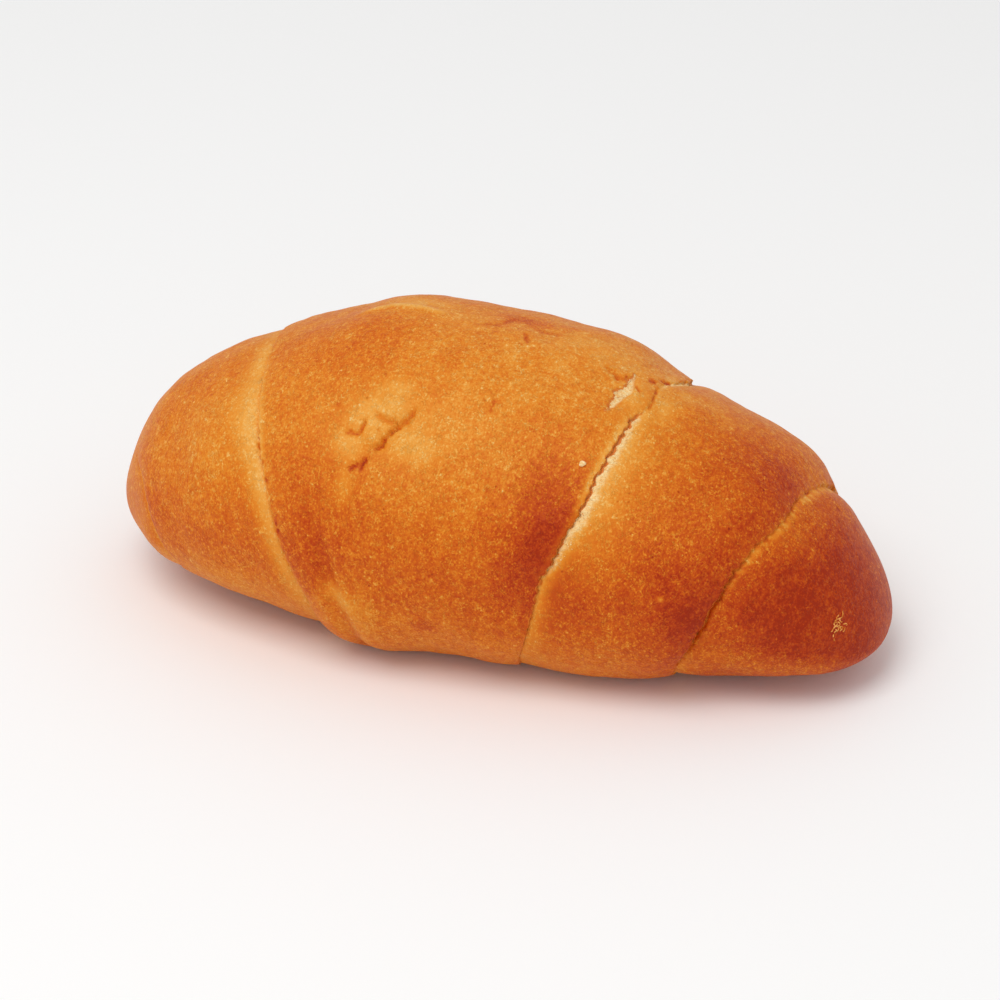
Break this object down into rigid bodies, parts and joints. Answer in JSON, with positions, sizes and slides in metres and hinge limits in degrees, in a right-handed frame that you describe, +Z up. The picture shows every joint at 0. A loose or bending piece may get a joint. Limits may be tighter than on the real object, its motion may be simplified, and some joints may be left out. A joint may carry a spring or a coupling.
{
  "type": "bread roll",
  "caption": "Rolled bread roll: a triangle of milk dough wound into spiral folds and baked golden brown, with blunt ends and a flat resting spot.",
  "frame": {"origin": "centre of the bounding box in X and Y, on the flat spot that the roll rests on", "axes": "+X along the roll towards its browner, more pointed end; -Y towards the roll's front, where the last corner of dough comes up from below; +Z up"},
  "size_m": [0.14, 0.069, 0.0545],
  "materials": {
    "crust": "baked crust, golden orange to red-brown, satin"
  },
  "bodies": {
    "root": {"roll": "crust"}
  },
  "joints": []
}
